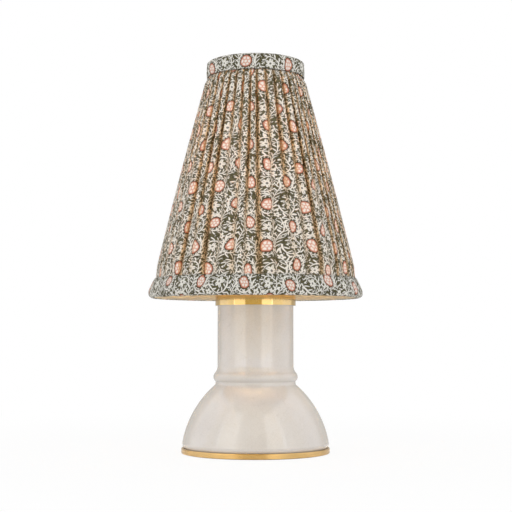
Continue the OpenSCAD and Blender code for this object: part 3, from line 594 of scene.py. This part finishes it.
# For each gather: its width, where it begins, its valley's depth, where that fades, how it sways
dice = random.Random(11)
widths = [1 + dice.uniform(-0.3, 0.3) for _ in range(GATHERS)]
edges = [sum(widths[:i]) / sum(widths) for i in range(GATHERS)]
deep = [dice.uniform(0.75, 1.0) if dice.random() < 0.42 else dice.uniform(0.02, 0.3)
        for _ in range(GATHERS)]
dies = [dice.uniform(0.25, 0.85) for _ in range(GATHERS)]
sway = [[dice.uniform(-1, 1) for _ in range(3)] for _ in range(GATHERS)]
cover_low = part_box("shade_cover")[0].z
band_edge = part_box("shade_top_band")[0].z


def ease(low, high, value):
    share = min(max((value - low) / (high - low), 0.0), 1.0)
    return share * share * (3 - 2 * share)


def valley_depth(i, t):
    """Depth of a valley, in millimetres, from the hem at 0 to the top at 1."""
    fade = ease(dies[i] - 0.3, dies[i] + 0.2, t)
    return (deep[i] * 2.1 + (2.75 - deep[i] * 1.6) * fade) * (0.6 + 0.4 * ease(0.0, 0.16, t))


def valley_place(i, t):
    """Share round the shade of a valley's line, which wanders less toward the top."""
    a, b, c = sway[i]
    wander = 0.22 * a * math.sin(2.6 * t + 2 * b) + 0.12 * c * math.sin(7 * t + 5 * a)
    return edges[i] + wander * (1.1 - t) / GATHERS


def visible(t):
    """Share of the cloth that shows on a crest at a height."""
    return 0.42 + 0.40 * (1 - t) ** 1.2


def split(s):
    """A gather's number and the share across it. The rows of points crowd together in the valleys."""
    turn = min(s * GATHERS, GATHERS - 1e-9)
    i = int(turn)
    f = turn - i
    return i, f - 0.72 * math.sin(2 * math.pi * f) / (2 * math.pi)


def cover_height(t):
    return cover_low + (band_edge + TUCK - cover_low) * t


def cover_cloth(s, t):
    i, f = split(s)
    show = visible(t)
    swallowed = math.copysign(abs(2 * f - 1) ** 7, f - 0.5) / 2
    return ((i + 0.5 + (f - 0.5) * show + swallowed * (1 - show)) / GATHERS * CLOTH_LONG,
            (cover_height(t) - cover_low) * slant)


def cover_place(s, t):
    i, f = split(s)
    j = (i + 1) % GATHERS
    z = cover_height(t)
    left, right = valley_place(i, t), valley_place(j, t) + (1 if j == 0 else 0)
    pinch = [math.exp(-(d / VALLEY) ** 2) for d in (f, 1 - f)]
    sunk = pinch[0] * valley_depth(i, t) + pinch[1] * valley_depth(j, t)
    lean = 0.10 * math.sin(7.0 * i + 2.0)
    share = left + (right - left) * (f + lean * sunk / 3 * 4 * f * (1 - f))

    # The valleys close and the cloth comes in under the top band, and it is pressed flat at the hem
    out = CREST + BELLY * math.sin(math.pi * t) - MM * (1 - 0.75 * ease(0.94, 1.0, t)) * sunk
    out -= MM * 0.5 * (2 * f - 1) ** 2
    out -= 0.0026 * ease(0.965, 1.0, t)
    out = SKIN + max(out - SKIN, 0) * (0.22 + 0.78 * ease(0.055, 0.13, t))
    angle = 2 * math.pi * share
    return Vector((math.cos(angle), math.sin(angle), 0)) * (cone(z) + out) + Vector((0, 0, z))


def cover_fold(s, t):
    """How deep in a fold the cloth lies, from 0 to 1, which also sets the painted glow and
    painted shade in the cloth's colour. Toward the top folds are narrower and their painted shade
    paler.
    """
    i, f = split(s)
    narrow, pale = 0.26 - 0.07 * t * t, 1 - 0.35 * t * t
    both = [math.exp(-(d / narrow) ** 2) * (0.2 + valley_depth(k, t) / 3.2)
            for d, k in ((f, i), (1 - f, (i + 1) % GATHERS))]
    return min(1.0, pale * sum(both))


cover = keep("gathered_cover", wrap(GATHERS * STEPS, ROWS, cover_place, cover_cloth, cover_fold),
             printed_cotton, "shade", "shade_cover")
thicken(cover, 0.00035)
cover_tall = (cover_height(1) - cover_low) * slant

# %% [markdown]
# ## The bands
# A straight strip of the same cotton is folded over each ring and hides the cover's raw ends. The
# section is drawn once, from the edge of the flap round the wire to the inside, and bent round.

# %% Folded bands
def band_section(ring_r, ring_z, out_r, way, flap_r, flap_z, swell, turn):
    """Points from the flap's edge, down the outside and round the wire to the inside. way is 1 where
    the cloth folds over the ring's top and -1 where it folds under the ring."""
    end_r, end_z = ring_r + out_r + swell, ring_z - way * abs(flap_z - ring_z) / 6
    flap = [(flap_r + (end_r - flap_r) * k + 0.0003 * math.sin(math.pi * k),
             flap_z + (end_z - flap_z) * k) for k in (i / 8 for i in range(9))]
    shoulder = [(ring_r + out_r * math.cos(a) + swell * (1 - ease(0, 1.35, a)),
                 ring_z + way * out_r * math.sin(a)) for a in (turn * i / 14 for i in range(15))]
    return flap + shoulder


def lengths(points):
    run = [0.0]
    for a, b in zip(points, points[1:]):
        run.append(run[-1] + math.dist(a, b))
    return run


def folded_band(name, node, section, steps, long, way, start):
    """A band from its section. Its cloth begins at start and runs up, or down where way is 1."""
    run = lengths(section)
    tall = len(section) - 1
    seam = math.pi / 2

    def at(s, t):
        r, z = section[round(t * tall)]
        ripple = 0.00012 * math.sin(23 * s * 2 * math.pi)
        ripple += 0.0001 * math.sin(41 * s * 2 * math.pi + 9 * t)
        r = r + ripple - 0.0001
        angle = seam + 2 * math.pi * s
        return Vector((math.cos(angle) * r, math.sin(angle) * r, z))

    def flat(s, t):
        return (s * long, start - run[round(t * tall)] * way)

    made = keep(name, wrap(steps, tall, at, flat), band_cotton, "shade", node)
    thicken(made, 0.00095)
    2 * math.pi * section[4][0]


low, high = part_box("shade_top_band")
top_out = high.z - top_z
top_section = band_section(top_r, top_z, top_out, way=1, flap_r=cone(low.z) + 0.0026, flap_z=low.z,
                           swell=max(high.x - (top_r + top_out), 0) * 0.98, turn=math.pi)
folded_band("top_band_fold", "shade_top_band", top_section,
            steps=220, long=0.330, way=-1, start=-0.009)
low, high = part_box("shade_bottom_band")
hem_out = hem_z - low.z
hem_section = band_section(hem_r, hem_z, hem_out, way=-1, flap_r=cone(high.z) + 0.0012, flap_z=high.z,
                           swell=0, turn=1.9)
folded_band("bottom_band_fold", "shade_bottom_band", hem_section,
            steps=300, long=0.720, way=1, start=0.0085)

# %% [markdown]
# ## The lining
# Plain cream cotton is stretched inside the ribs and seamed at each of them. At the hem it is rolled
# under the ring to meet the printed band, which is why a cream edge shows under the far side of the
# shade. At the top it is snipped where the spider's three arms reach the ring.

# %% Lining
ARMS = [math.radians(a) for a in (90, 210, 330)]
LINING_LONG = 0.696  # 8 panels, each as wide as the gap from seam to seam
low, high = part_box("shade_lining")
lining_gap = high.x - cone(low.z)
rise_from = hem_z + 0.009
roll = [(hem_r + hem_out * math.cos(a), hem_z - hem_out * math.sin(a))
        for a in (1.75 + 0.15 * i for i in range(8))]
rise = [rise_from + (high.z - rise_from) * i / 40 for i in range(41)]
lining_section = roll + [(cone(z) + lining_gap, z) for z in rise]
lining_run = lengths(lining_section)


def lining_place(s, t):
    angle = 2 * math.pi * s
    r, z = lining_section[round(t * (len(lining_section) - 1))]
    snip = max(math.exp(-((math.remainder(angle - a, 2 * math.pi)) / 0.045) ** 2) for a in ARMS)
    z -= 0.0085 * snip * ease(0.9, 1.0, t)
    r -= 0.0007 * abs(math.cos(4 * angle)) * math.sin(math.pi * t)
    return Vector((math.cos(angle) * r, math.sin(angle) * r, z))


def lining_cloth(s, t):
    return (s * LINING_LONG, lining_run[round(t * (len(lining_section) - 1))])


lining = keep("cream_lining", wrap(288, len(lining_section) - 1, lining_place, lining_cloth),
              cream_cotton, "shade", "shade_lining")
thicken(lining, 0.0006)

# %% [markdown]
# ## Floor, light and backdrop
# Two tall soft lamps stand to the left and right of the camera, and through the gap between them
# brass and glaze show a warm, dim room. The floor and the world are white only to the camera, to
# glass and to mirrors that look past the lamp, and other rays find the room's own even light. Far
# behind the lamp mirrors find a dim room again, which draws a thin dark line along the edges of
# brass and glaze.

# %% Floor
BEHIND_ROOM = (0.54, 0.52, 0.47)
BEHIND_FROM, BEHIND_TO = 0.4, 0.65  # part of a direction that goes backward, where that room begins

floor_mesh = bmesh.new()
bmesh.ops.create_grid(floor_mesh, x_segments=1, y_segments=1, size=6.0)
floor_data = bpy.data.meshes.new("studio_floor")
floor_mesh.to_mesh(floor_data)
floor_mesh.free()
floor = bpy.data.objects.new("studio_floor", floor_data)
scene.collection.objects.link(floor)


def seen_as_white(start, mirrors):
    """1 for the camera and glass, which should find a white backdrop, and a share of it for mirrors."""
    rays = start.node("LightPath", output="Is Camera Ray")
    return rays.at_least(rays.out("Is Transmission Ray")).at_least(rays.out("Is Glossy Ray") * mirrors)


def glow(start, kind, colour):
    """An Emission or a Background of a colour, as bright as the colour says."""
    if not isinstance(colour, Field):
        colour = (*colour, 1.0)
    return start.node(kind, None, {"Color": colour, "Strength": 1.0})


def build_floor(start):
    place = start.node("TexCoord", output="Object")
    far = start.node("VectorMath", {"operation": "LENGTH"}, {0: place}, output=1)
    fine = start.node("TexNoise", None, {"Scale": 30.0})
    lit = start.node("BsdfPrincipled", None, {
        "Base Color": blend(fine, (0.86,) * 3, (0.88,) * 3), "Roughness": 0.6})
    beyond = (place.parts().out("Y") / far).step(BEHIND_FROM, BEHIND_TO)
    beyond = beyond * start.node("LightPath", output="Is Glossy Ray")
    white = start.node("MixShader", None, {
        0: beyond, 1: glow(start, "Emission", WHITE), 2: glow(start, "Emission", BEHIND_ROOM)})
    shown = seen_as_white(start, far.step(0.15, 1.0)) * far.step(0.1, 0.8, 0.9, 1.0)
    return start.node("MixShader", None, {0: shown, 1: lit, 2: white})


floor_data.materials.append(finish_of("studio_floor", build_floor))

# %% Backdrop and lamps
GAP_WAY = (0.1305, 0.9914, 0.0)  # away from the gap between the lamps, 7.5 degrees off the axis
GAP_ENDS = (-0.61, -0.56)  # cosines of the turn from GAP_WAY, behind the lamps' outer edges
GAP_ROOM, SIDE_ROOM = (0.61, 0.50, 0.22), (0.95, 0.93, 0.80)  # in mirrors
SIDE_LIGHT, GAP_LIGHT, TOP_LIGHT = (1.14,) * 3, (0.96,) * 3, (0.80,) * 3  # what falls on the lamp

world = bpy.data.worlds.new("studio")
scene.world = world
world.use_nodes = True
world.node_tree.nodes.clear()
sky = Field(world.node_tree)
direction = sky.node("TexCoord", output="Generated")
behind, up = direction.parts().out("Y"), direction.parts().out("Z")
level = (1.01 - up * up) ** 0.5  # the direction's length seen from above, a little more than 0
toward = sky.node("VectorMath", {"operation": "DOT_PRODUCT"}, {0: direction, 1: GAP_WAY}, output=1)
side = (toward / level).step(*GAP_ENDS)
beyond = behind.step(BEHIND_FROM, BEHIND_TO)
mirrored = blend(beyond, blend(side, GAP_ROOM, SIDE_ROOM), BEHIND_ROOM)
ambient = blend(up.step(0.3, 1.0), blend(side, GAP_LIGHT, SIDE_LIGHT), TOP_LIGHT)
room = glow(sky, "Background", blend(sky.node("LightPath", output="Is Glossy Ray"), ambient, mirrored))
backdrop = seen_as_white(sky, behind.step(-0.2, 0.0) * (1 - beyond))
surface = sky.node("MixShader", None, {0: backdrop, 1: room, 2: glow(sky, "Background", WHITE)})
sky.node("OutputWorld", None, {"Surface": surface}, output=None)


def softbox(name, turn, distance, width, height, middle, power):
    """An upright area lamp at a turn round the axis from the camera, facing the axis."""
    lamp = bpy.data.lights.new(name, "AREA")
    lamp.shape, lamp.size, lamp.size_y, lamp.energy = "RECTANGLE", width, height, power
    holder = bpy.data.objects.new(name, lamp)
    scene.collection.objects.link(holder)
    a = math.radians(turn)
    holder.location = (math.sin(a) * distance, -math.cos(a) * distance, middle)
    holder.rotation_euler = (math.pi / 2, 0.0, a)


softbox("left_softbox", turn=-46, distance=1.3, width=0.80, height=2.0, middle=0.8, power=3.7)
softbox("right_softbox", turn=33.5, distance=1.3, width=0.74, height=2.0, middle=0.8, power=3.8)
print("studio: lit")
